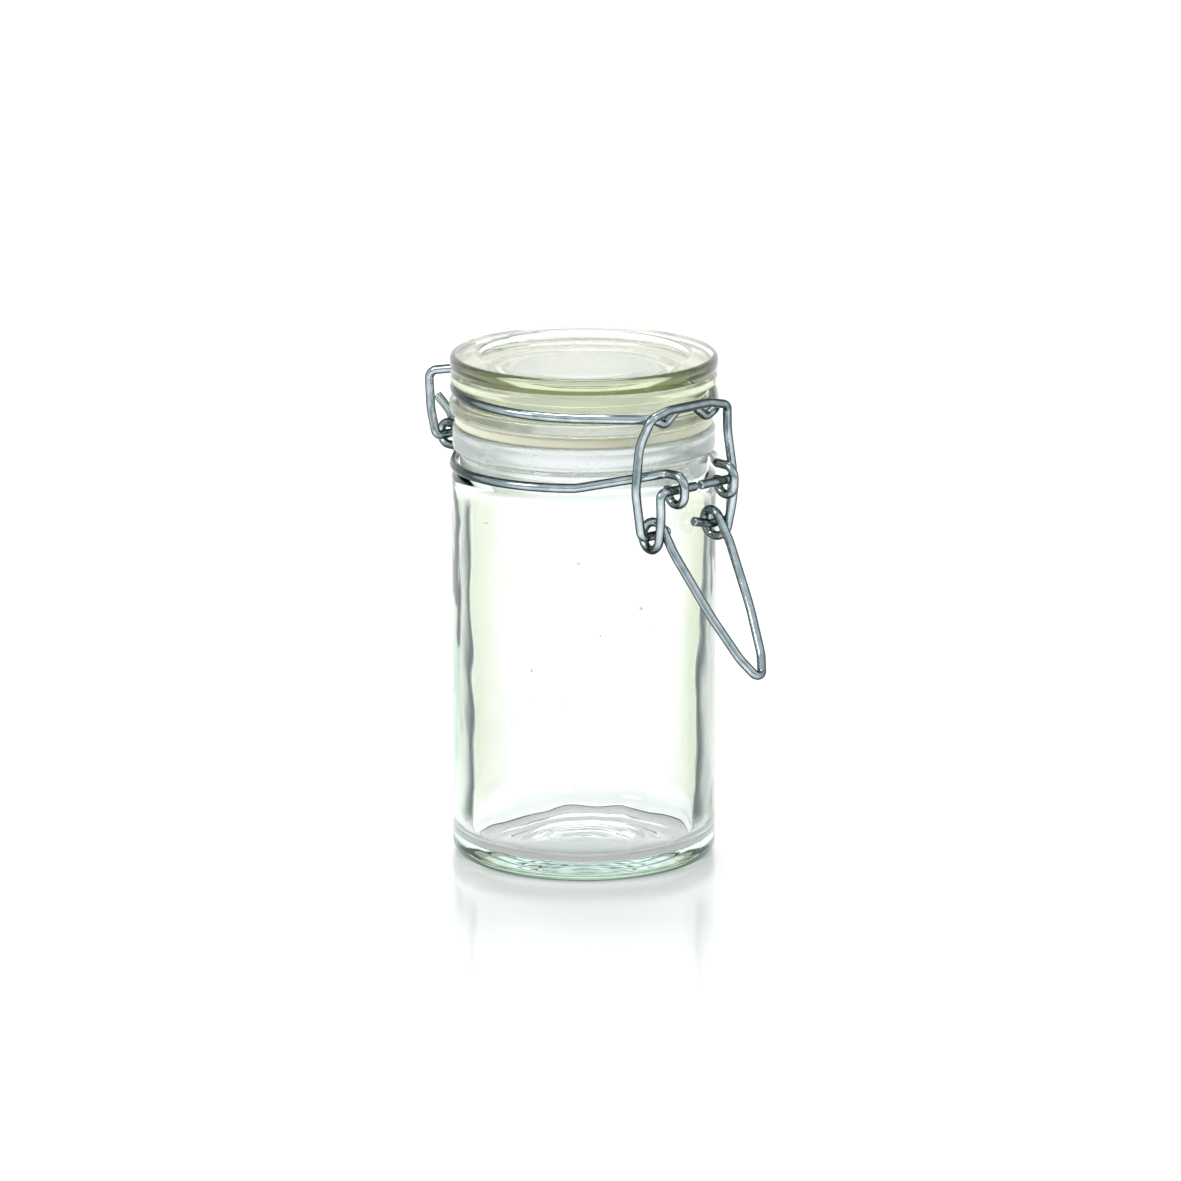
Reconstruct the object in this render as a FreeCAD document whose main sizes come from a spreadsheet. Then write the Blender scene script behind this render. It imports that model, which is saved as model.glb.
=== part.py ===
import FreeCAD, Part

# A small glass jar with a bail clamp closure, in millimetres. The jar stands on its base with its
# axis on Z and z = 0 at the table. +X points to the clamp and -X to the hinge. The wires are bent
# alike on both sides of the XZ plane, apart from the link's two pins and the little play that
# shifts the lever, the link and the lid wire's nose along Y. Each glass piece and the seal is a
# revolved body, and each wire is one round sweep.

import math
import os

import Sketcher

from FreeCAD import Vector

SIZES = [
    # alias, value, what it is
    ("wire_diameter", 1.6, "all four wires"),
    ("wire_end_round", 0.3, "rounding of a cut wire end"),
    ("fit_gap", 0.35, "least gap between wires that move past each other"),
    ("body_radius", 23.05, "outside of the jar's wall"),
    ("bore_radius", 19.6, "inside of the jar's wall"),
    ("floor_z", 2.6, "inside floor"),
    ("punt_radius", 16.0, "inner edge of the ring the jar stands on"),
    ("punt_height", 1.0, "rise of the hollow under the base"),
    ("shoulder_z", 67.7, "top of the straight wall"),
    ("neck_radius", 21.5, "bottom of the groove for the neck wire"),
    ("neck_foot_z", 68.8, "foot of the neck groove"),
    ("neck_head_z", 71.9, "top of the neck groove"),
    ("rim_foot_z", 72.7, "underside of the rim"),
    ("rim_radius", 22.8, "outside of the rim"),
    ("rim_z", 76.75, "top of the rim, where the seal sits"),
    ("mouth_radius", 18.0, "inside of the mouth"),
    ("throat_z", 71.0, "foot of the straight mouth"),
    ("bore_head_z", 65.5, "where the bore starts to close in"),
    ("base_round", 2.2, "rounding of the base's outer corner"),
    ("floor_round", 3.4, "rounding between the wall and the floor inside"),
    ("shoulder_round", 1.2, "rounding of the shoulder"),
    ("groove_round", 0.5, "rounding at the bottom of both wire grooves"),
    ("bead_round", 0.6, "rounding of the beads beside the grooves"),
    ("rim_round", 0.9, "rounding of the rim and of the dish's edge"),
    ("throat_round", 3.0, "rounding where the bore closes in"),
    ("seal_gap", 0.05, "clearance under the resting seal"),
    ("seal_radius", 22.4, "outside of the seal"),
    ("seal_slack", 0.1, "clearance of the seal round the lid's plug"),
    ("seal_round", 0.6, "rounding of the seal's corners"),
    ("lid_foot_z", 78.65, "underside of the lid's flange"),
    ("lid_radius", 23.3, "outside of the lid"),
    ("plug_radius", 16.8, "plug that drops into the mouth"),
    ("plug_z", 74.9, "bottom of the plug"),
    ("hollow_radius", 13.4, "hollow under the lid"),
    ("hollow_z", 81.2, "roof of the hollow"),
    ("lid_groove_radius", 21.3, "bottom of the lid's groove"),
    ("lid_groove_foot_z", 81.2, "foot of the lid's groove"),
    ("lid_groove_head_z", 84.0, "top of the lid's groove"),
    ("lid_bead_radius", 23.1, "small bead above the groove"),
    ("lid_notch_radius", 22.75, "bottom of the notch between the two beads"),
    ("lid_notch_z", 86.0, "height of that notch"),
    ("lid_notch_half", 0.35, "half height of that notch"),
    ("lid_z", 89.0, "top of the lid"),
    ("dish_radius", 18.3, "edge of the shallow dish in the lid's top"),
    ("dish_z", 87.8, "floor of that dish"),
    ("lid_round", 1.6, "rounding of the lid's upper edge"),
    ("corner_round", 0.4, "rounding of the lid's two inner corners"),
    ("notch_round", 0.3, "rounding of the notch's two edges"),
    ("plug_round", 1.4, "rounding of the plug's lower edge"),
    ("hollow_mouth_round", 1.5, "rounding of the hollow's lower edge"),
    ("hollow_round", 2.5, "rounding of the hollow's roof"),
    ("neck_wire_z", 69.85, "middle height of the neck wire in its groove"),
    ("neck_wire_slope", 0.016, "its rise per millimetre towards the clamp"),
    ("neck_ring_radius", 22.6, "centre line of the neck wire round the neck"),
    ("lid_wire_z", 82.6, "middle height of the lid wire in its groove"),
    ("lid_wire_slope", -0.028, "its rise per millimetre towards the clamp"),
    ("lid_ring_radius", 22.4, "centre line of the lid wire round the lid"),
    ("lever_x", 29.3, "axis of the lever's pins"),
    ("lever_z", 70.45, "the same, height"),
    ("front_eye_y", 5.85, "the neck wire's front eyes, off the middle"),
    ("front_eye_half_x", 2.05, "half width of a front eye's centre line"),
    ("front_eye_half_z", 2.55, "half height of a front eye's centre line"),
    ("hinge_x", -29.6, "axis of the lid's hinge"),
    ("hinge_z", 70.55, "the same, height"),
    ("hinge_eye_radius", 1.95, "centre line of a rear eye"),
    ("hinge_eye_y", 5.0, "outer turn of a rear eye, off the middle"),
    ("leg_top_x", -31.5, "top of the lid wire's legs"),
    ("leg_top_z", 82.0, "the same, height"),
    ("tail_length", 6.6, "tail of a leg, back up from its pin"),
    ("tail_lean_x", 3.0, "how far a tail leans back at its end"),
    ("tail_lean_y", 2.0, "how far it leans outward"),
    ("nose_x", 24.55, "the lid wire's nose, in front of the lid"),
    ("nose_dip_z", 80.7, "low point each side of the nose"),
    ("nose_y", 0.8, "the nose's middle, off the centre line"),
    ("nose_top_z", 83.0, "raised middle of the nose"),
    ("link_x", 25.8, "axis of the link's pins"),
    ("link_z", 62.2, "the same, height"),
    ("lever_arm_y", 8.2, "the lever's arms, off its own middle"),
    ("lever_shift", -0.8, "the lever's play along its pins"),
    ("lever_eye_radius", 2.35, "centre line of a lever eye"),
    ("handle_reach_x", 42.5, "far end of the handle"),
    ("handle_reach_z", 38.6, "the same, height"),
    ("bar_x", 26.6, "the link's top bar"),
    ("bar_z", 82.75, "its corners' height"),
    ("bar_rise", 1.0, "its bow in the middle"),
    ("bar_half_y", 9.0, "its corners, off the middle"),
    ("link_foot_y", 10.45, "its arms at the pins, off the middle"),
    ("link_shift", -0.25, "the link's play along its pins"),
    ("link_bow_y", 11.5, "widest point of the link's arms"),
    ("near_pin", 6.4, "length of the link's pin on the -Y side"),
    ("far_pin", 8.7, "length of the link's pin on the +Y side"),
    ("pin_straight", 4.7, "the part of each pin that is straight, through the lever's eye"),
    ("pin_kick", 0.25, "rise of the rest of it, per millimetre"),
]

doc = FreeCAD.newDocument("bail_clamp_jar")


def make_sheet():
    """The driving dimensions, one aliased cell each."""
    sheet = doc.addObject("Spreadsheet::Sheet", "Sizes")
    for row, (alias, value, note) in enumerate(SIZES, 1):
        sheet.set(f"A{row}", note)
        sheet.set(f"B{row}", str(value))
        sheet.setAlias(f"B{row}", alias)
    doc.recompute()
    return sheet


sheet = make_sheet()


def size(alias):
    """The number in a cell."""
    return float(getattr(sheet, alias))


# ---------------------------------------------------------------- revolved bodies


def cell_value(term):
    """An alias, or (alias, sign, alias) for a sum or difference, as a number."""
    if isinstance(term, str):
        return size(term)
    first, sign, second = term
    return size(first) + (size(second) if sign == "+" else -size(second))


def cell_text(term):
    """The same, as an expression on the sheet."""
    if isinstance(term, str):
        return f"Sizes.{term}"
    first, sign, second = term
    return f"Sizes.{first} {sign} Sizes.{second}"


def origin_plane(body, role):
    return next(f for f in body.Origin.OriginFeatures if f.Role == role)


def revolved_body(label, outline):
    """A body turned about Z from a closed outline of (radius, height) cells; None stands for zero."""
    body = doc.addObject("PartDesign::Body", label)
    body.Label = label
    sketch = body.newObject("Sketcher::SketchObject", f"{label}_outline")
    sketch.AttachmentSupport = [(origin_plane(body, "XZ_Plane"), "")]
    sketch.MapMode = "FlatFace"
    points = [Vector(cell_value(x) if x else 0, cell_value(z) if z else 0, 0) for x, z in outline]
    count = len(points)
    for i in range(count):
        sketch.addGeometry(Part.LineSegment(points[i], points[(i + 1) % count]), False)
    for i in range(count):
        sketch.addConstraint(joined(i, (i + 1) % count))
    for i, (x, z) in enumerate(outline):
        pin_vertex(sketch, i, "X", x, points[i].x)
        pin_vertex(sketch, i, "Y", z, points[i].y)
    revolution = body.newObject("PartDesign::Revolution", f"{label}_turned")
    revolution.Profile = sketch
    revolution.ReferenceAxis = (sketch, ["V_Axis"])
    revolution.Angle = 360
    sketch.Visibility = False
    doc.recompute()
    return body


def joined(first, second):
    return Sketcher.Constraint("Coincident", first, 2, second, 1)


def pin_vertex(sketch, line, way, cell, value):
    """Holds the start of one line at a cell's distance from the origin along X or Y."""
    if cell is None:
        axis = -2 if way == "X" else -1
        sketch.addConstraint(Sketcher.Constraint("PointOnObject", line, 1, axis))
        return
    index = sketch.addConstraint(Sketcher.Constraint(f"Distance{way}", -1, 1, line, 1, value))
    sketch.setExpression(f"Constraints[{index}]", cell_text(cell))


def round_rings(body, amount, *rings):
    """Fillets the circular edges at these (radius, height) cells by the amount in a cell."""
    names = []
    base = body.Tip
    for radius, height in rings:
        r = cell_value(radius)
        z = cell_value(height) if height else 0.0
        for n, edge in enumerate(base.Shape.Edges, 1):
            ring = edge.Curve
            if isinstance(ring, Part.Circle) and math.hypot(ring.Radius - r, ring.Center.z - z) < 1e-4:
                names.append(f"Edge{n}")
    if len(names) != len(rings):
        raise RuntimeError(f"{body.Label}: {len(rings)} rings asked for, {len(names)} found")
    fillet = body.newObject("PartDesign::Fillet", f"{body.Label}_round")
    fillet.Base = (base, names)
    fillet.setExpression("Radius", f"Sizes.{amount}")
    doc.recompute()


def make_jar():
    body = revolved_body(
        "glass_jar",
        [
            (None, "punt_height"),
            ("punt_radius", None),
            ("body_radius", None),
            ("body_radius", "shoulder_z"),
            ("neck_radius", "neck_foot_z"),
            ("neck_radius", "neck_head_z"),
            ("rim_radius", "rim_foot_z"),
            ("rim_radius", "rim_z"),
            ("mouth_radius", "rim_z"),
            ("mouth_radius", "throat_z"),
            ("bore_radius", "bore_head_z"),
            ("bore_radius", "floor_z"),
            (None, "floor_z"),
        ],
    )
    round_rings(body, "base_round", ("body_radius", None))
    round_rings(body, "shoulder_round", ("body_radius", "shoulder_z"))
    round_rings(body, "groove_round", ("neck_radius", "neck_foot_z"), ("neck_radius", "neck_head_z"))
    round_rings(body, "bead_round", ("rim_radius", "rim_foot_z"))
    round_rings(body, "rim_round", ("rim_radius", "rim_z"), ("mouth_radius", "rim_z"))
    round_rings(body, "throat_round", ("mouth_radius", "throat_z"), ("bore_radius", "bore_head_z"))
    round_rings(body, "floor_round", ("bore_radius", "floor_z"))
    return body


def make_lid():
    notch_foot = ("lid_notch_z", "-", "lid_notch_half")
    notch_head = ("lid_notch_z", "+", "lid_notch_half")
    body = revolved_body(
        "glass_lid",
        [
            (None, "hollow_z"),
            ("hollow_radius", "hollow_z"),
            ("hollow_radius", "plug_z"),
            ("plug_radius", "plug_z"),
            ("plug_radius", "lid_foot_z"),
            ("lid_radius", "lid_foot_z"),
            ("lid_radius", "lid_groove_foot_z"),
            ("lid_groove_radius", "lid_groove_foot_z"),
            ("lid_groove_radius", "lid_groove_head_z"),
            ("lid_bead_radius", "lid_groove_head_z"),
            ("lid_bead_radius", notch_foot),
            ("lid_notch_radius", "lid_notch_z"),
            ("lid_radius", notch_head),
            ("lid_radius", "lid_z"),
            ("dish_radius", "lid_z"),
            ("dish_radius", "dish_z"),
            (None, "dish_z"),
        ],
    )
    round_rings(body, "lid_round", ("lid_radius", "lid_z"))
    round_rings(body, "rim_round", ("dish_radius", "lid_z"), ("lid_radius", "lid_foot_z"))
    round_rings(body, "corner_round", ("dish_radius", "dish_z"), ("plug_radius", "lid_foot_z"))
    beads = ("lid_radius", "lid_groove_foot_z"), ("lid_bead_radius", "lid_groove_head_z")
    round_rings(body, "bead_round", *beads)
    groove = ("lid_groove_radius", "lid_groove_foot_z"), ("lid_groove_radius", "lid_groove_head_z")
    round_rings(body, "groove_round", *groove)
    round_rings(body, "notch_round", ("lid_bead_radius", notch_foot), ("lid_radius", notch_head))
    round_rings(body, "plug_round", ("plug_radius", "plug_z"))
    round_rings(body, "hollow_mouth_round", ("hollow_radius", "plug_z"))
    round_rings(body, "hollow_round", ("hollow_radius", "hollow_z"))
    return body


def make_seal():
    inner = ("plug_radius", "+", "seal_slack")
    foot = ("rim_z", "+", "seal_gap")
    body = revolved_body(
        "seal_ring",
        [
            (inner, foot),
            ("seal_radius", foot),
            ("seal_radius", "lid_foot_z"),
            (inner, "lid_foot_z"),
        ],
    )
    outer = ("seal_radius", foot), ("seal_radius", "lid_foot_z")
    round_rings(body, "seal_round", *outer, (inner, foot), (inner, "lid_foot_z"))
    return body


# ---------------------------------------------------------------- bent wires


def bend(x, y, z, radius):
    """One corner of a wire's centre line, and the radius it is bent to."""
    return Vector(x, y, z), radius


def bent_path(corners):
    """A wire of straight runs joined by tangent arcs. Each radius is cut to what its runs allow."""
    points = [c[0] for c in corners]
    last = len(points) - 1
    runs = [points[i + 1] - points[i] for i in range(last)]
    reach = [0.0] * (last + 1)
    for i in range(1, last):
        turn = runs[i - 1].getAngle(runs[i])
        room_before = runs[i - 1].Length * (1.0 if i == 1 else 0.5)
        room_after = runs[i].Length * (1.0 if i == last - 1 else 0.5)
        reach[i] = min(corners[i][1] * math.tan(turn / 2), room_before, room_after)
    edges = []
    here = points[0]
    for i in range(1, last):
        into = Vector(runs[i - 1]).normalize()
        away = Vector(runs[i]).normalize()
        start = points[i] - into * reach[i]
        end = points[i] + away * reach[i]
        if (start - here).Length > 1e-4:
            edges.append(Part.LineSegment(here, start).toShape())
        else:
            start = here
        turn = into.getAngle(away)
        if turn > 1e-6:
            radius = reach[i] / math.tan(turn / 2)
            inward = (away - into).normalize()
            sagitta = radius / math.cos(turn / 2) - radius
            edges.append(Part.Arc(start, points[i] + inward * sagitta, end).toShape())
        here = end
    if (points[last] - here).Length > 1e-4:
        edges.append(Part.LineSegment(here, points[last]).toShape())
    return Part.Wire(edges)


def both_sides(half):
    """The corners of one wire from its +Y end to its -Y end; half(side) starts at the middle."""
    return half(1)[::-1] + half(-1)


def ring_corners(radius, z, slope, first, final, steps):
    """Corners that bend to an arc about Z from one angle to another, tilted by its slope along X."""
    step = (final - first) / steps
    out = radius / math.cos(step / 2)
    angles = [first + step * (i + 0.5) for i in range(steps)]
    return [bend(out * math.cos(a), out * math.sin(a), z + slope * out * math.cos(a), radius) for a in angles]


def eye_corners(centre_x, centre_z, radius, first, final, steps, y_first, y_final):
    """Corners that bend to a turn of wire about an axis along Y. Angles run from +X towards +Z."""
    step = (final - first) / steps
    out = radius / math.cos(step / 2)
    corners = []
    for i in range(steps):
        share = (i + 0.5) / steps
        a = first + step * (i + 0.5)
        y = y_first + (y_final - y_first) * share
        corners.append(bend(centre_x + out * math.cos(a), y, centre_z + out * math.sin(a), radius))
    return corners


def touch_angle(x, y, radius, side):
    """Where the straight from (x, y) meets the circle about Z, on the +1 or -1 side of it."""
    return math.atan2(y, x) + side * math.acos(radius / math.hypot(x, y))


def swept_wire(label, corners):
    """A round wire along a bent path, its two cut ends rounded."""
    path = doc.addObject("Part::Feature", f"{label}_path")
    path.Shape = bent_path(corners)
    section = doc.addObject("Part::Circle", f"{label}_section")
    section.setExpression("Radius", "Sizes.wire_diameter / 2")
    start, along = corners[0][0], corners[1][0] - corners[0][0]
    section.Placement = FreeCAD.Placement(start, FreeCAD.Rotation(Vector(0, 0, 1), along))
    sweep = doc.addObject("Part::Sweep", f"{label}_swept")
    sweep.Sections = [section]
    sweep.Spine = (path, [f"Edge{n + 1}" for n in range(len(path.Shape.Edges))])
    sweep.Solid = True
    sweep.Frenet = False
    doc.recompute()
    ends = []
    for n, edge in enumerate(sweep.Shape.Edges, 1):
        if isinstance(edge.Curve, Part.Circle) or edge.isClosed():
            centre = edge.BoundBox.Center
            if min((centre - corners[0][0]).Length, (centre - corners[-1][0]).Length) < 0.05:
                ends.append(n)
    piece = doc.addObject("Part::Fillet", label)
    piece.Base = sweep
    amount = size("wire_end_round")
    piece.Edges = [(n, amount, amount) for n in ends]
    piece.Label = label
    doc.recompute()
    return piece


def make_neck_wire():
    """One wire: an eye at each front end, a ring round the neck, and two open eyes behind."""
    ring, ring_z, slope = size("neck_ring_radius"), size("neck_wire_z"), size("neck_wire_slope")
    eye_y = size("front_eye_y")
    lever_x, lever_z = size("lever_x"), size("lever_z")
    half_x, half_z = size("front_eye_half_x"), size("front_eye_half_z")
    inner_x, outer_x = lever_x - half_x, lever_x + half_x
    low_z, high_z = lever_z - half_z, lever_z + half_z
    hinge_x, hinge_z = size("hinge_x"), size("hinge_z")
    turn, turn_y = size("hinge_eye_radius"), size("hinge_eye_y")
    lift_start = 0.6
    knee_x, knee_y = inner_x - 0.2, eye_y + 0.1
    entry_x, entry_y = hinge_x + 3.2, turn_y + 0.1
    leave = touch_angle(knee_x, -knee_y, ring, -1)
    arrive = touch_angle(-abs(entry_x), -entry_y, ring, 1)
    start_x, start_y = ring * math.cos(leave), ring * math.sin(leave)
    run = math.hypot(knee_x - start_x, -knee_y - start_y)
    lift_x = start_x + (knee_x - start_x) * lift_start / run
    lift_y = start_y + (-knee_y - start_y) * lift_start / run

    def half(side):
        return (
            [
                bend(hinge_x + 3.6, 0, hinge_z + turn, 0),
                bend(hinge_x + 3.6, side * turn_y, hinge_z + turn, 1.5),
                bend(hinge_x - turn, side * turn_y, hinge_z + turn, turn),
                bend(hinge_x - turn, side * turn_y, hinge_z - turn, turn),
                bend(entry_x, side * entry_y, hinge_z - turn, 3.0),
            ]
            + ring_corners(ring, ring_z, slope, -side * arrive, -side * leave, 6)
            + [
                bend(lift_x, -side * lift_y, ring_z + slope * lift_x, 8.0),
                bend(knee_x, side * knee_y, high_z, 2.0),
                bend(outer_x, side * eye_y, high_z, half_x),
                bend(outer_x, side * eye_y, low_z, half_x),
                bend(inner_x, side * eye_y, low_z, half_x),
                bend(inner_x, side * eye_y, lever_z + 0.4, 0),
            ]
        )

    return swept_wire("neck_wire", half(1)[:0:-1] + half(-1)[1:])


def make_lid_wire():
    """One wire: a nose in front, a ring round the lid, and two legs with hinge pins and tails behind."""
    ring, ring_z, slope = size("lid_ring_radius"), size("lid_wire_z"), size("lid_wire_slope")
    nose_x, dip_z, top_z = size("nose_x"), size("nose_dip_z"), size("nose_top_z")
    nose_y = size("nose_y")
    pin_x, pin_z = size("hinge_x"), size("hinge_z")
    eye_y = size("hinge_eye_y")
    clear = size("wire_diameter") + size("fit_gap")
    leg_y, tail_y = eye_y + clear + 0.95, eye_y - clear
    top_x, leg_z = size("leg_top_x"), size("leg_top_z")
    tail, lean_x, lean_y = size("tail_length"), size("tail_lean_x"), size("tail_lean_y")
    turn_out_x, turn_out_y = -24.2, 3.8

    def half(side):
        knee_y = side * 7.2 + nose_y
        leave = touch_angle(nose_x, knee_y, ring, side)
        arrive = touch_angle(turn_out_x, side * turn_out_y, ring, -side)
        return (
            [
                bend(nose_x, side * 2.0 + nose_y, top_z, 1.6),
                bend(nose_x, side * 4.9 + nose_y, dip_z, 1.4),
                bend(nose_x, knee_y, ring_z + slope * nose_x, 1.8),
            ]
            + ring_corners(ring, ring_z, slope, leave, arrive, 6)
            + [
                bend(turn_out_x, side * turn_out_y, ring_z + slope * turn_out_x, 1.4),
                bend(top_x, side * leg_y, leg_z, 1.6),
                bend(top_x + 0.5, side * leg_y, pin_z + 4.6, 8.0),
                bend(pin_x, side * leg_y, pin_z, 1.1),
                bend(pin_x, side * tail_y, pin_z, 1.1),
                bend(pin_x - 0.45 * lean_x, side * (tail_y + 0.2 * lean_y), pin_z + 0.55 * tail, 4.0),
                bend(pin_x - lean_x, side * (tail_y + lean_y), pin_z + tail, 0),
            ]
        )

    return swept_wire("lid_wire", both_sides(half))


def make_link():
    """The frame that joins the lever to the lid wire: a bowed top bar, two arms and two inward pins."""
    pin_x, pin_z = size("link_x"), size("link_z")
    arm_y, bow_y, bar_y = size("link_foot_y"), size("link_bow_y"), size("bar_half_y")
    bar_x, bar_z, rise = size("bar_x"), size("bar_z"), size("bar_rise")
    shift = size("link_shift")
    straight, kick = size("pin_straight"), size("pin_kick")

    def half(side):
        pin = size("near_pin") if side < 0 else size("far_pin")
        return [
            bend(bar_x, side * 4.9, bar_z + rise, 8.0),
            bend(bar_x, side * bar_y, bar_z, 1.7),
            bend(pin_x - 0.6, side * (bow_y - 1.1), bar_z - 4.8, 10.0),
            bend(pin_x - 0.3, side * bow_y, pin_z + 8.2, 10.0),
            bend(pin_x, side * arm_y, pin_z, 1.3),
            bend(pin_x, side * (arm_y - straight), pin_z, 3.0),
            bend(pin_x, side * (arm_y - pin), pin_z + kick * (pin - straight), 0),
        ]

    corners = [(Vector(p.x, p.y + shift, p.z), r) for p, r in both_sides(half)]
    return swept_wire("link", corners)


def make_lever():
    """The handle wire: two pins in the neck wire's eyes, an eye each side for the link, and a V grip."""
    pin_x, pin_z = size("lever_x"), size("lever_z")
    eye_x, eye_z, eye_r = size("link_x"), size("link_z"), size("lever_eye_radius")
    shift = size("lever_shift")
    arm_y = size("lever_arm_y")
    grip_y = arm_y - size("wire_diameter") - 0.1
    end_x, end_z = size("handle_reach_x"), size("handle_reach_z")
    drop = math.atan2(eye_z - end_z, end_x - eye_x)
    turn = 1.5 * math.pi + drop
    along = Vector(math.cos(drop), 0, -math.sin(drop))
    leave = Vector(eye_x + eye_r * math.sin(drop), 0, eye_z + eye_r * math.cos(drop))
    length = math.hypot(end_x - eye_x, eye_z - end_z)

    def half(side):
        def grip(share, y, radius):
            p = leave + along * (length * share)
            return bend(p.x, side * y, p.z, radius)

        eye = eye_corners(eye_x, eye_z, eye_r, 0, -turn, 6, side * arm_y, side * grip_y)
        return (
            [
                grip(1.0, 0.75, 1.7),
                grip(0.88, 2.5, 7.0),
                grip(0.58, 4.7, 40.0),
                grip(0.16, grip_y + 0.1, 12.0),
            ]
            + eye[::-1]
            + [
                bend(pin_x - 0.2, side * (arm_y + 0.2), pin_z - 4.5, 20.0),
                bend(pin_x, side * (arm_y + 0.6), pin_z, 1.1),
                bend(pin_x, side * 0.45, pin_z, 0),
            ]
        )

    corners = [(Vector(p.x, p.y + shift, p.z), r) for p, r in both_sides(half)]
    return swept_wire("lever", corners)


pieces = [
    make_jar(),
    make_lid(),
    make_seal(),
    make_neck_wire(),
    make_lid_wire(),
    make_link(),
    make_lever(),
]
doc.recompute()

for thing in doc.Objects:
    if "Invalid" in thing.State or "Error" in thing.State:
        raise RuntimeError(f"{thing.Label} failed: {thing.State}")
for piece in pieces:
    if piece.Shape.isNull() or not piece.Shape.isValid():
        raise RuntimeError(f"{piece.Label} has no valid shape")

os.makedirs("parts", exist_ok=True)
for piece in pieces:
    piece.Shape.exportStep(os.path.join("parts", f"{piece.Label}.step"))
    print(f"{piece.Label}: {piece.Shape.Volume:.1f} mm3, {len(piece.Shape.Solids)} solid")
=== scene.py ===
"""The looks of a small glass jar with a wire bail clamp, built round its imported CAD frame.

Metres, +Z up, the jar's axis on Z, +X to the clamp. The two glass pieces and the seal are turned
again here, finer than the frame's. The glass has the waviness of pressed glass, inside the frame's
box. The wires are the frame's own.
"""

import math
import random

import bmesh
import bpy
from mathutils import Matrix, Vector, noise


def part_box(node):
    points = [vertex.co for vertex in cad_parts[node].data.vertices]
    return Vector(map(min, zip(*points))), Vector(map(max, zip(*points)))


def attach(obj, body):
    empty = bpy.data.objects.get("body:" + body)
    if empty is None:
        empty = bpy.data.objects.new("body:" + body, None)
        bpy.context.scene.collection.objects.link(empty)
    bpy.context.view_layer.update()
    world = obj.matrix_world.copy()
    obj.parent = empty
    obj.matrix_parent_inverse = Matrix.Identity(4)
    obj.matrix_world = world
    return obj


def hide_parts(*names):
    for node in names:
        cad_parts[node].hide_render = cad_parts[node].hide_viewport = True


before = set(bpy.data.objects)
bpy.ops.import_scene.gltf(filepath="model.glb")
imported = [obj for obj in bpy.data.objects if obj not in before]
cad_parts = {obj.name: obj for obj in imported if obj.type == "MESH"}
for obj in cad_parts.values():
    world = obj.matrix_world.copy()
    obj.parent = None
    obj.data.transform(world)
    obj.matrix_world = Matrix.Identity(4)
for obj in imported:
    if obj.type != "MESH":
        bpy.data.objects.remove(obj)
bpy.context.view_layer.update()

MM = 0.001
TURN_STEPS = 288
BEND_STEP = 9

VIEW_AZIMUTH = math.radians(47)
VIEW_ELEVATION = math.radians(14)
VIEW_DISTANCE = 1.19
# How far right of the jar's middle and above it the camera aims, in mm.
VIEW_RIGHT = 1.13
VIEW_UP = 2.48
TOWARDS_VIEW = (0.73, -0.68, 0)
LIGHTS_AIM = Vector((0, 0, 0.05))
FLOOR_HALF = 12
# Seeds are small bubbles in the glass. The draw is where their random places start.
SEED_COUNT = 26
SEED_DRAW = 4

# Colours against how far a surface turns away, from 0 face on to 1 edge on; their dark ends are painted
# shade.
WHITE = (1, 1, 1)
# The bore: a warm tint, then painted shade edge on.
BORE_TINT_AND_SHADE = (
    (0.1, WHITE),
    (0.25, (0.95, 0.95, 0.93)),
    (0.4, (0.72, 0.73, 0.62)),
    (0.5, (0.6, 0.63, 0.47)),
    (0.63, (0.5, 0.53, 0.34)),
    (0.8, (0.4, 0.44, 0.28)),
    (0.88, (0.02, 0.06, 0.05)),
)
# The outside: a warm tint, then painted shade edge on.
SKIN_TINT_AND_SHADE = (
    (0.33, WHITE),
    (0.6, (0.78, 0.8, 0.64)),
    (0.82, (0.7, 0.8, 0.66)),
    (0.95, (0.08, 0.22, 0.2)),
)
# The lid's rim: a warm tint, then a painted dark outline edge on.
LID_TINT_AND_SHADE = (
    (0.12, WHITE),
    (0.3, (0.97, 0.97, 0.92)),
    (0.5, (0.93, 0.93, 0.8)),
    (0.64, (0.06, 0.07, 0.02)),
)
# A painted dark line on the bore, against the same turn: how much of it is made dark instead of clear.
# It starts where the glass starts to mirror.
BORE_SHADE_LINE = tuple(
    (turn, (share, share, share))
    for turn, share in (
        (0.24, 0),
        (0.247, 1),
        (0.263, 0.98),
        (0.277, 0.82),
        (0.29, 0.52),
        (0.305, 0.3),
        (0.33, 0.1),
        (0.36, 0),
    )
)
# The colour of the bore's painted dark line.
SHADE_LINE_COLOUR = ((0, WHITE), (0.05, (0.01, 0.12, 0.13)))
# Painted shade on the wires: the colour darkens as they turn away towards their sides.
WIRE_SIDE_SHADE = ((0.03, WHITE), (0.44, (0.03, 0.05, 0.045)))
CHILL_ROUGHNESS = 0.34
CHILL_HAZE = 0.2
# Each point's numbers: how strongly walls and skin take their painted edge shade, where the bore's
# painted dark line lies, and how chilled it is.
LAYERS = ("wall", "skin", "bore", "chill")

# ---------------------------------------------------------------- camera


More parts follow.
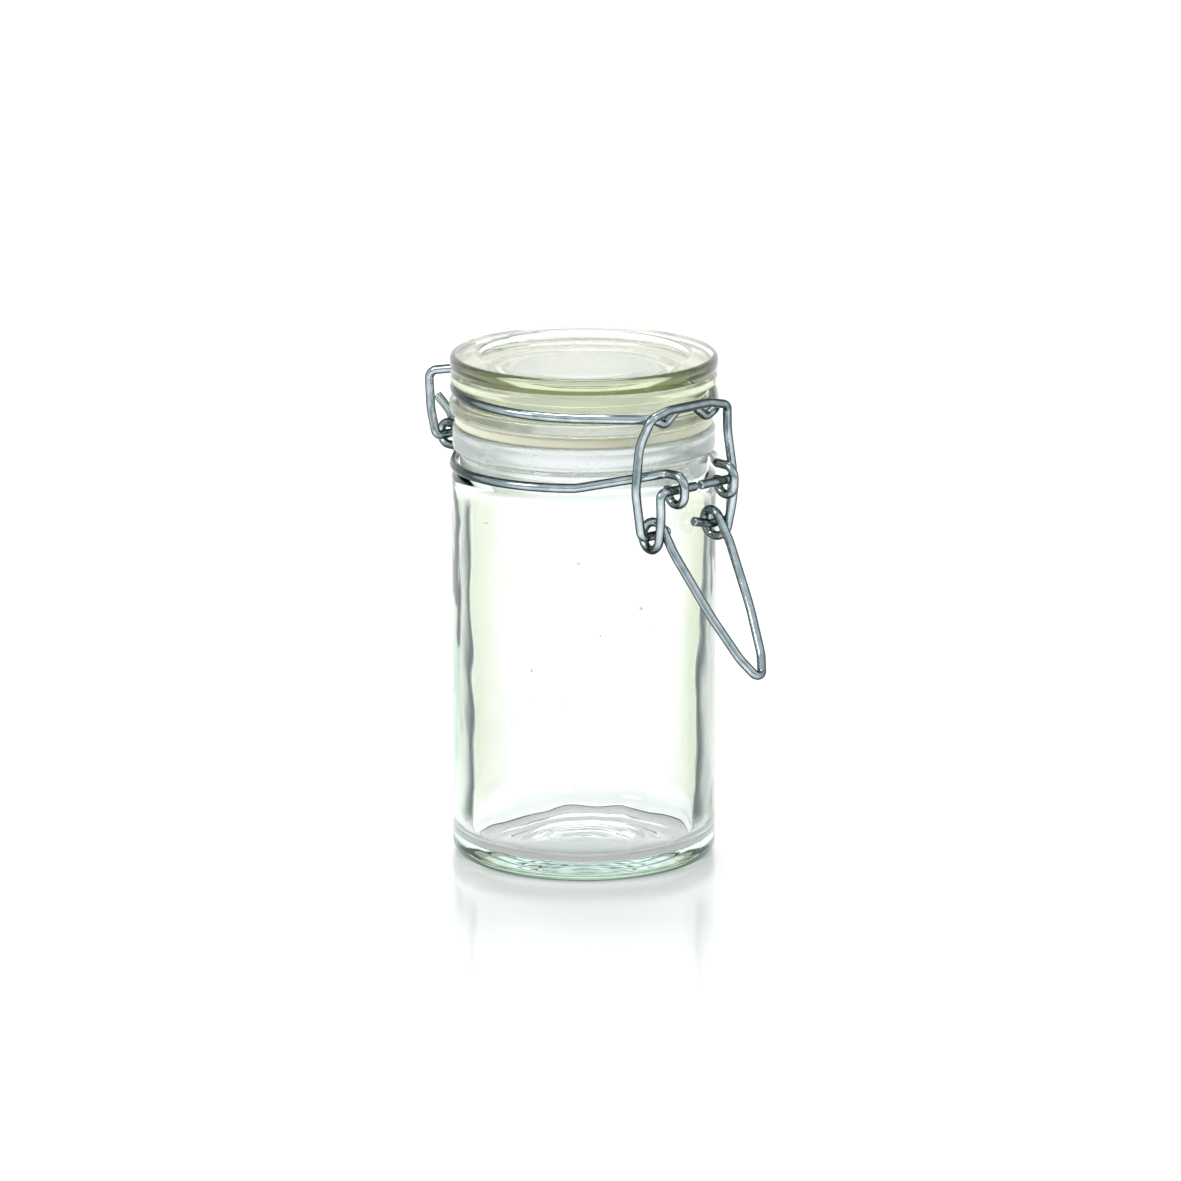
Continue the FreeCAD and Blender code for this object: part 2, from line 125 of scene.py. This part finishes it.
def add_camera():
    """A long lens a little over a metre away, between +X and -Y and a little above the jar."""
    level = math.cos(VIEW_ELEVATION)
    back = Vector(
        (
            math.sin(VIEW_AZIMUTH) * level,
            -math.cos(VIEW_AZIMUTH) * level,
            math.sin(VIEW_ELEVATION),
        )
    )
    right = Vector((math.cos(VIEW_AZIMUTH), math.sin(VIEW_AZIMUTH), 0))
    up = back.cross(right)
    aim = Vector((0, 0, 44 * MM)) + right * VIEW_RIGHT * MM + up * VIEW_UP * MM
    data = bpy.data.cameras.new("camera")
    data.lens = 208
    data.sensor_width = 36
    camera = bpy.data.objects.new("camera", data)
    camera.location = aim + back * VIEW_DISTANCE
    camera.rotation_euler = (-back).to_track_quat("-Z", "Y").to_euler()
    bpy.context.scene.collection.objects.link(camera)
    bpy.context.scene.camera = camera


# ---------------------------------------------------------------- materials


def new_material(name):
    """A material, its node tree and its Principled shader."""
    material = bpy.data.materials.new(name)
    material.use_nodes = True
    tree = material.node_tree
    return material, tree, tree.nodes["Principled BSDF"]


def add_noise(tree, scale, detail=2.0, stretch=(1, 1, 1)):
    """Object-space noise; stretch scales the axes."""
    place = tree.nodes.new("ShaderNodeTexCoord")
    mapping = tree.nodes.new("ShaderNodeMapping")
    mapping.inputs["Scale"].default_value = stretch
    texture = tree.nodes.new("ShaderNodeTexNoise")
    texture.inputs["Scale"].default_value = scale
    texture.inputs["Detail"].default_value = detail
    tree.links.new(place.outputs["Object"], mapping.inputs["Vector"])
    tree.links.new(mapping.outputs["Vector"], texture.inputs["Vector"])
    return texture.outputs["Fac"]


def ramp(tree, source, stops):
    """The colour that a number picks from a row of (position, colour) stops."""
    node = tree.nodes.new("ShaderNodeValToRGB")
    elements = node.color_ramp.elements
    for k, (position, colour) in enumerate(stops):
        stop = elements[k] if k < 2 else elements.new(position)
        stop.position = position
        stop.color = (*colour, 1)
    tree.links.new(source, node.inputs["Fac"])
    return node.outputs["Color"]


def cloudy(tree, texture, low, high):
    """Two colours in soft patches."""
    return ramp(tree, texture, ((0.35, low), (0.65, high)))


def new_mix(tree, blend_type, factor, first, second):
    """Two colours joined, by a factor that is a number or a socket."""
    node = tree.nodes.new("ShaderNodeMix")
    node.data_type = "RGBA"
    node.blend_type = blend_type
    if isinstance(factor, bpy.types.NodeSocket):
        tree.links.new(factor, node.inputs["Factor"])
    else:
        node.inputs["Factor"].default_value = factor
    colours = [socket for socket in node.inputs if socket.type == "RGBA"]
    tree.links.new(first, colours[0])
    tree.links.new(second, colours[1])
    return next(socket for socket in node.outputs if socket.type == "RGBA")


def blend(tree, first, second):
    """Two colours multiplied."""
    return new_mix(tree, "MULTIPLY", 1.0, first, second)


def map_range(tree, texture, low, high):
    """A texture as a number between two limits."""
    node = tree.nodes.new("ShaderNodeMapRange")
    node.inputs["To Min"].default_value = low
    node.inputs["To Max"].default_value = high
    tree.links.new(texture, node.inputs["Value"])
    return node.outputs["Result"]


def bump(tree, shader, source, height, previous=None):
    """A bump of a height in metres from a node's socket, chained on the one before."""
    node = tree.nodes.new("ShaderNodeBump")
    node.inputs["Strength"].default_value = 1.0
    node.inputs["Distance"].default_value = height
    tree.links.new(source, node.inputs["Height"])
    if previous:
        tree.links.new(previous.outputs["Normal"], node.inputs["Normal"])
    tree.links.new(node.outputs["Normal"], shader.inputs["Normal"])
    return node


def calculate(tree, operation, *terms):
    """Arithmetic on terms that are numbers or sockets."""
    node = tree.nodes.new("ShaderNodeMath")
    node.operation = operation
    for term, socket in zip(terms, node.inputs):
        if isinstance(term, bpy.types.NodeSocket):
            tree.links.new(term, socket)
        else:
            socket.default_value = term
    return node.outputs["Value"]


def painted(tree, name):
    """A number that the mesh carries on each point."""
    node = tree.nodes.new("ShaderNodeAttribute")
    node.attribute_name = name
    return node.outputs["Fac"]


def turned_away(tree):
    """How far the surface turns away, from 0 face on to 1 edge on."""
    node = tree.nodes.new("ShaderNodeLayerWeight")
    node.inputs["Blend"].default_value = 0.5
    return node.outputs["Facing"]


def edge_tint_and_shade(tree, facing, layer, stops):
    """The colour that a surface takes as it turns away, with painted shade at its dark end, as strongly
    as the mesh's layer says.
    """
    return ramp(tree, calculate(tree, "MULTIPLY", facing, painted(tree, layer)), stops)


def bore_shade_line(tree, facing):
    """A painted dark line on the bore: how much of it is made dark instead of clear, seen from within
    the glass, just past the angle where it starts to mirror. The dark line down each side of the jar
    comes from this."""
    within = tree.nodes.new("ShaderNodeNewGeometry").outputs["Backfacing"]
    seen = calculate(tree, "MULTIPLY", ramp(tree, facing, BORE_SHADE_LINE), within)
    return calculate(tree, "MULTIPLY", seen, painted(tree, "bore"))


def glass(name, walls, skin, absorb, density, ripple):
    """Clear glass, tinted in its depth. Its walls turn warm and then take painted shade where they are
    seen edge on, its skin does so on its own scale, and the bore carries a painted dark line. Its
    chilled faces are a little frosted and streaked round."""
    material, tree, shader = new_material(name)
    # The export tells glass by this value, though the link below takes its place in a render.
    shader.inputs["Transmission Weight"].default_value = 1.0
    shader.inputs["IOR"].default_value = 1.52
    facing = turned_away(tree)
    shade_line = bore_shade_line(tree, facing)
    chill = painted(tree, "chill")

    # Painted shade: the walls and the skin darken as they turn away.
    edge = blend(
        tree,
        edge_tint_and_shade(tree, facing, "wall", walls),
        edge_tint_and_shade(tree, facing, "skin", skin),
    )
    # Painted shade: the bore's dark line darkens the colour.
    edge = blend(tree, edge, ramp(tree, shade_line, SHADE_LINE_COLOUR))
    patches = cloudy(tree, add_noise(tree, 90), (0.985, 0.985, 0.985), WHITE)
    tree.links.new(blend(tree, edge, patches), shader.inputs["Base Color"])

    smear = map_range(tree, add_noise(tree, 220, 3), 0.0, 0.03)
    frost = calculate(tree, "MULTIPLY_ADD", chill, CHILL_ROUGHNESS, smear)
    tree.links.new(frost, shader.inputs["Roughness"])
    clear = calculate(tree, "MULTIPLY_ADD", chill, -CHILL_HAZE, 1.0)
    # Where the bore's painted dark line lies, the glass is less clear and its dark colour shows.
    kept = calculate(tree, "SUBTRACT", clear, shade_line)
    tree.links.new(kept, shader.inputs["Transmission Weight"])

    waves = bump(tree, shader, add_noise(tree, 120, 1, (1, 1, 0.5)), ripple)
    streaks = add_noise(tree, 160, 2, (0.1, 0.1, 5))
    bump(tree, shader, calculate(tree, "MULTIPLY", streaks, chill), 0.25 * MM, waves)

    volume = tree.nodes.new("ShaderNodeVolumeAbsorption")
    volume.inputs["Color"].default_value = (*absorb, 1)
    volume.inputs["Density"].default_value = density
    tree.links.new(volume.outputs["Volume"], tree.nodes["Material Output"].inputs["Volume"])
    return material


def silicone(name):
    """Milky silicone: light gets into it, and a moulded sheen lies on it."""
    material, tree, shader = new_material(name)
    colour = cloudy(tree, add_noise(tree, 260, 3), (1.0, 0.94, 0.66), (1.0, 0.96, 0.75))
    tree.links.new(colour, shader.inputs["Base Color"])
    shader.inputs["Subsurface Weight"].default_value = 0.6
    shader.inputs["Subsurface Radius"].default_value = (1.0, 0.9, 0.8)
    shader.inputs["Subsurface Scale"].default_value = 2.5 * MM
    shader.inputs["IOR"].default_value = 1.41
    rough = map_range(tree, add_noise(tree, 900, 2), 0.34, 0.5)
    tree.links.new(rough, shader.inputs["Roughness"])
    bump(tree, shader, add_noise(tree, 1800, 2), 0.01 * MM)
    return material


def zinc_wire(name, seed):
    """Drawn steel wire with bright zinc on it: soft cloudy tones, faint scuffs and a fine grain. Its
    colour darkens towards the sides as painted shade."""
    material, tree, shader = new_material(name)
    shader.inputs["Metallic"].default_value = 1.0
    cloud = add_noise(tree, 420 + 30 * seed, 3)
    colour = cloudy(tree, cloud, (0.56, 0.68, 0.73), (0.84, 0.93, 0.95))
    # Painted shade: darker towards the wire's sides.
    side_shade = ramp(tree, turned_away(tree), WIRE_SIDE_SHADE)
    tree.links.new(blend(tree, colour, side_shade), shader.inputs["Base Color"])
    rough = map_range(tree, add_noise(tree, 1300 + 50 * seed, 4), 0.08, 0.2)
    tree.links.new(rough, shader.inputs["Roughness"])
    grain = bump(tree, shader, add_noise(tree, 5200, 3), 0.006 * MM)
    bump(tree, shader, add_noise(tree, 700, 2), 0.03 * MM, grain)
    return material


# ---------------------------------------------------------------- turned pieces


def rounded(corners):
    """A closed outline with its corners rounded. Each corner is (radius, height, rounding), in mm."""
    count = len(corners)
    outline = []
    for i, (x, z, radius) in enumerate(corners):
        here = Vector((x, z))
        into = here - Vector(corners[i - 1][:2])
        away = Vector(corners[(i + 1) % count][:2]) - here
        turn = into.angle(away)
        if radius <= 0 or turn < 1e-4:
            outline.append(here)
            continue
        reach = min(radius * math.tan(turn / 2), into.length * 0.499, away.length * 0.499)
        into.normalize()
        away.normalize()
        bend = reach / math.tan(turn / 2)
        centre = here + (away - into).normalized() * bend / math.cos(turn / 2)
        first = here - into * reach - centre
        side = 1 if into.x * away.y - into.y * away.x > 0 else -1
        parts = max(2, math.ceil(math.degrees(turn) / BEND_STEP))
        for k in range(parts + 1):
            a = side * turn * k / parts
            cos, sin = math.cos(a), math.sin(a)
            spun = Vector((first.x * cos - first.y * sin, first.x * sin + first.y * cos))
            outline.append(centre + spun)
    return outline


def filled(outline, longest):
    """The same outline with its long straights divided, so that waves have points to move."""
    points = []
    for i, p in enumerate(outline):
        q = outline[(i + 1) % len(outline)]
        parts = max(1, math.ceil((q - p).length / longest))
        points += [p.lerp(q, k / parts) for k in range(parts)]
    return points


def turned(name, outline, material, wave=None, paint=None):
    """A closed body of revolution from (radius, height) points in mm. wave(r, z, angle) moves r and z,
    and paint(r, z) gives a point's number for each of LAYERS."""
    marks = []
    loops = []
    verts = []
    faces = []
    for p in outline:
        if p.x < 1e-6:
            loops.append([len(verts)])
            verts.append(Vector((0, 0, p.y)) * MM)
            marks.append(p)
            continue
        loop = []
        for k in range(TURN_STEPS):
            a = 2 * math.pi * k / TURN_STEPS
            r, z = wave(p.x, p.y, a) if wave else (p.x, p.y)
            loop.append(len(verts))
            verts.append(Vector((r * math.cos(a), r * math.sin(a), z)) * MM)
            marks.append(p)
        loops.append(loop)
    for i, low in enumerate(loops):
        high = loops[(i + 1) % len(loops)]
        if len(low) == 1 and len(high) == 1:
            continue
        for k in range(TURN_STEPS):
            n = (k + 1) % TURN_STEPS
            if len(low) == 1:
                faces.append((low[0], high[n], high[k]))
            elif len(high) == 1:
                faces.append((low[k], low[n], high[0]))
            else:
                faces.append((low[k], low[n], high[n], high[k]))
    mesh = bpy.data.meshes.new(name)
    mesh.from_pydata(verts, [], faces)
    mesh.materials.append(material)
    mesh.polygons.foreach_set("use_smooth", [True] * len(mesh.polygons))
    if paint:
        values = [paint(p.x, p.y) for p in marks]
        for i, layer in enumerate(LAYERS):
            attribute = mesh.attributes.new(layer, "FLOAT", "POINT")
            attribute.data.foreach_set("value", [v[i] for v in values])
    mesh.update()
    piece = bpy.data.objects.new(name, mesh)
    bpy.context.scene.collection.objects.link(piece)
    return piece


def swell(z, angle, scale, seed):
    """Smooth noise from -1 to 1 round and up a turned surface, without a seam."""
    across = math.cos(angle) * scale + seed
    along = math.sin(angle) * scale
    return noise.noise(Vector((across, along, z * 0.03 * scale)))


def inside(z, low, high, rise, fall):
    """1 well inside two heights, and 0 at each of them."""
    return min(1, (z - low) / rise, (high - z) / fall)


def jar_wave(r, z, angle):
    """Pressed glass: the bore wanders and stands off centre, the outside hardly moves, mould rings run
    round under the base, and the floor inside is a little uneven."""
    if r < 20.5 and 5 < z < 69:
        fade = inside(z, 5, 69, 8, 6)
        r += 0.6 * fade * swell(z * 0.6, angle, 1.5, 3.1)
        r += 0.07 * fade * swell(z, angle, 5.0, 7.7)
        r += 0.4 * fade * math.cos(angle - VIEW_AZIMUTH)
    elif r > 22.6 and 3 < z < 66:
        fade = inside(z, 3, 66, 6, 4)
        r -= 0.05 * fade * (1 + swell(z, angle, 2.3, 1.4))
    elif z < 1.1 and r < 15.5:
        rings = math.sin(2 * math.pi * r / 2.3) + swell(r * 3, angle, 1.2, 5.5)
        z += 0.06 * rings * min(1, r / 4, (15.5 - r) / 3)
    elif r <= 16 and 2 < z <= 5:
        z += 0.05 * swell(r * 3, angle, 1.0, 5.5) * min(1, r / 6)
    return r, z


def smooth(low, high, value):
    """0 below low, 1 above high, and a smooth step between."""
    t = min(1, max(0, (value - low) / (high - low)))
    return t * t * (3 - 2 * t)


def jar_paint(r, z):
    """The jar's LAYERS: the foot's edge (a painted contact line) and the bore take the wall's painted
    shade, the outside takes the skin's, the bore also takes its painted dark line, and the inside of
    the neck and the outside of the rim are chilled."""
    if z < 3:
        # Painted shade: the foot's rounded edge darkens as a contact line at the floor.
        return 1.5 * smooth(21.3, 22.3, r), 0, 0, 0
    side = smooth(5, 9, z)
    # The outside takes the skin's painted edge shade, less of it on the neck; the rim is chilled.
    if r > 21.2:
        return 0, side * (1 - 0.4 * smooth(66, 68, z)), 0, 0.6 * smooth(72.6, 73.2, z)
    if r < 17.4:
        return 0, 0, 0, 0
    # The bore takes the wall's painted shade and the painted dark line, both less on the neck.
    neck = smooth(63, 66, z)
    return side * (1 - 0.5 * neck), 0, side * (1 - neck), 0.75 * smooth(67, 70, z)


def lid_paint(r, z):
    """The lid's LAYERS: its rim takes the wall's painted shade, more so at the top edge, as a painted
    dark outline, and in the crease between the beads. Its hollow is chilled, and its rim faintly so."""
    # Painted shade: a dark outline round the top edge and a darkened crease between the beads.
    edge = 2.2 * smooth(87.6, 88, z) * smooth(22.3, 22.6, r)
    crease = 3.4 * smooth(86.0, 86.4, z) * (1 - smooth(87.3, 87.6, z))
    if r > 21:
        wall = 0.2 + 0.25 * smooth(82, 84, z) + edge + crease
        return wall, 0, 0, 0.2 * (1 - smooth(86, 88, z))
    return 0, 0, 0, (1 - smooth(12, 15, r)) * (1 - smooth(81.6, 83, z))


def lid_wave(r, z, angle):
    """The lid's hidden underside wanders, and its top stays flat."""
    if z < 82 and r < 17.5:
        r += 0.08 * swell(z, angle, 2.0, 2.2)
    return r, z


def make_jar(material):
    """The jar: punt, foot, wall, neck groove and rim, then down the bore to the floor."""
    low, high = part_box("glass_jar")
    radius, rim = (high[0] - low[0]) / 2 / MM, high[2] / MM
    corners = [
        (0, 1.0, 0),
        (16.0, 0, 1.0),
        (radius, 0, 2.2),
        (radius, 67.7, 1.2),
        (21.5, 68.8, 0.5),
        (21.5, 71.9, 0.5),
        (22.8, 72.7, 0.6),
        (22.8, rim, 0.9),
        (18.0, rim, 0.9),
        (18.0, 71.0, 3.0),
        (19.6, 65.5, 6.0),
        (19.6, 2.6, 3.4),
        (0, 2.6, 0),
    ]
    return turned("jar_body", filled(rounded(corners), 0.8), material, jar_wave, jar_paint)


def add_seeds(piece, count):
    """Tiny bubbles left in the wall: closed hollows, drawn out along the wall as the glass was."""
    rng = random.Random(SEED_DRAW)
    shape = bmesh.new()
    shape.from_mesh(piece.data)
    for _ in range(count):
        angle = rng.uniform(0, 2 * math.pi)
        height = rng.uniform(10, 62) * MM
        size = rng.uniform(0.07, 0.17) * MM
        depth = rng.uniform(20.9, 22.3) * MM
        made = bmesh.ops.create_icosphere(shape, subdivisions=2, radius=size)["verts"]
        middle = Vector((depth * math.cos(angle), depth * math.sin(angle), height))
        turn = Matrix.Rotation(angle + rng.uniform(-0.3, 0.3), 4, "Z")
        stretch = Matrix.Diagonal((1, rng.uniform(1, 1.8), rng.uniform(1, 1.8), 1))
        bmesh.ops.transform(shape, matrix=Matrix.Translation(middle) @ turn @ stretch, verts=made)
        shell = list({f for v in made for f in v.link_faces})
        bmesh.ops.reverse_faces(shape, faces=shell)
        for f in shell:
            f.smooth = True
    shape.to_mesh(piece.data)
    shape.free()


def make_lid(material):
    """The lid: hollow, plug, the flange on the seal, the wire's groove, two beads and the dish."""
    low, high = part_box("glass_lid")
    radius, top = (high[0] - low[0]) / 2 / MM, high[2] / MM
    corners = [
        (0, 81.2, 0),
        (13.4, 81.2, 2.5),
        (13.4, 74.9, 1.5),
        (16.8, 74.9, 1.4),
        (16.8, 78.65, 0.4),
        (radius, 78.65, 0.9),
        (radius, 81.2, 0.6),
        (21.3, 81.2, 0.5),
        (21.3, 84.0, 0.5),
        (23.1, 84.0, 0.6),
        (23.1, 85.6, 0.4),
        (22.7, 86.1, 0.3),
        (23.25, 87.1, 0.6),
        (radius, top, 1.6),
        (18.3, top, 0.9),
        (18.3, top - 1.2, 0.4),
        (0, top - 1.2, 0),
    ]
    return turned("lid_glass", filled(rounded(corners), 1.2), material, lid_wave, lid_paint)


def make_seal(material):
    """The flat ring round the lid's plug."""
    low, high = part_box("seal_ring")
    radius, foot, head = (high[0] - low[0]) / 2 / MM, low[2] / MM, high[2] / MM
    corners = [
        (16.9, foot, 0.15),
        (radius, foot, 0.6),
        (radius, head, 0.6),
        (16.9, head, 0.15),
    ]
    return turned("seal_lip", filled(rounded(corners), 1.2), material)


# ---------------------------------------------------------------- floor and light


def add_floor():
    """A plain pale floor, a little glossy, that gives off a little light of its own."""
    mesh = bpy.data.meshes.new("floor")
    corners = [(x * FLOOR_HALF, y * FLOOR_HALF, 0) for x, y in ((-1, -1), (1, -1), (1, 1), (-1, 1))]
    mesh.from_pydata(corners, [], [(0, 1, 2, 3)])
    floor = bpy.data.objects.new("floor", mesh)
    bpy.context.scene.collection.objects.link(floor)
    material, _, shader = new_material("floor_white")
    shader.inputs["Base Color"].default_value = (0.71, 0.7, 0.69, 1)
    shader.inputs["Emission Color"].default_value = (1, 1, 1, 1)
    shader.inputs["Emission Strength"].default_value = 0.22
    shader.inputs["Roughness"].default_value = 0.1
    shader.inputs["Specular IOR Level"].default_value = 0.5
    mesh.materials.append(material)


def add_softbox(name, place, size, power):
    """A rectangular soft light turned towards the jar."""
    data = bpy.data.lights.new(name, "AREA")
    data.shape = "RECTANGLE"
    data.size, data.size_y = size
    data.energy = power
    light = bpy.data.objects.new(name, data)
    light.location = place
    light.rotation_euler = (LIGHTS_AIM - Vector(place)).to_track_quat("-Z", "Y").to_euler()
    bpy.context.scene.collection.objects.link(light)


def light_world():
    """A studio round the jar: bright low down behind it, dim on the camera's side, grey overhead."""
    world = bpy.data.worlds.new("studio")
    bpy.context.scene.world = world
    world.use_nodes = True
    tree = world.node_tree
    place = tree.nodes.new("ShaderNodeTexCoord").outputs["Generated"]
    split = tree.nodes.new("ShaderNodeSeparateXYZ")
    tree.links.new(place, split.inputs["Vector"])

    def by_height(tint, *greys):
        """Greys against height; the tint is how far each channel darkens with them."""
        stops = [(height, [1 - (1 - grey) * t for t in tint]) for height, grey in greys]
        return ramp(tree, split.outputs["Z"], stops)

    towards = tree.nodes.new("ShaderNodeVectorMath")
    towards.operation = "DOT_PRODUCT"
    towards.inputs[1].default_value = TOWARDS_VIEW
    tree.links.new(place, towards.inputs[0])
    side = tree.nodes.new("ShaderNodeMapRange")
    side.interpolation_type = "SMOOTHSTEP"
    side.inputs["From Min"].default_value = -0.3
    side.inputs["From Max"].default_value = 0.7
    tree.links.new(towards.outputs["Value"], side.inputs["Value"])
    behind = by_height((1, 0.9, 0.8), (0.0, 1.0), (0.32, 1.0), (0.6, 0.42))
    front = by_height((1, 0.97, 0.96), (0.0, 0.18), (0.22, 0.24), (0.42, 0.35), (0.6, 0.42))
    sky = new_mix(tree, "MIX", side.outputs["Result"], behind, front)
    tree.links.new(sky, tree.nodes["Background"].inputs["Color"])
    tree.nodes["Background"].inputs["Strength"].default_value = 1.38


add_camera()
scene = bpy.context.scene
scene.view_settings.view_transform = "Standard"
scene.cycles.max_bounces = 24
scene.cycles.transmission_bounces = 20
scene.cycles.glossy_bounces = 8
scene.cycles.transparent_max_bounces = 16
scene.cycles.sample_clamp_indirect = 6

jar = make_jar(glass("jar_glass_look", BORE_TINT_AND_SHADE, SKIN_TINT_AND_SHADE, (0.33, 0.71, 0.57), 14, 0.03 * MM))
add_seeds(jar, SEED_COUNT)
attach(jar, "jar")
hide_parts("glass_jar")

lid = make_lid(glass("lid_glass_look", LID_TINT_AND_SHADE, SKIN_TINT_AND_SHADE, (0.52, 0.6, 0.14), 16, 0.03 * MM))
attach(lid, "lid")
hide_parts("glass_lid")

seal = make_seal(silicone("seal_look"))
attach(seal, "lid")
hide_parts("seal_ring")

for seed, node in enumerate(("neck_wire", "lid_wire", "link", "lever")):
    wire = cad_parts[node]
    wire.data.materials.clear()
    wire.data.materials.append(zinc_wire(f"{node}_look", seed))
    wire.data.polygons.foreach_set("use_smooth", [True] * len(wire.data.polygons))

add_floor()
light_world()
add_softbox("overhead", (-0.6, 0.56, 1.9), (0.8, 0.8), 22.5)
add_softbox("key", (-0.35, -1.15, 1.0), (0.5, 0.5), 4.2)
add_softbox("left_tent", (-1.2, -0.5, 0.7), (0.5, 1.3), 1.4)
add_softbox("right_tent", (1.3, 0.5, 0.8), (0.5, 1.2), 1.3)
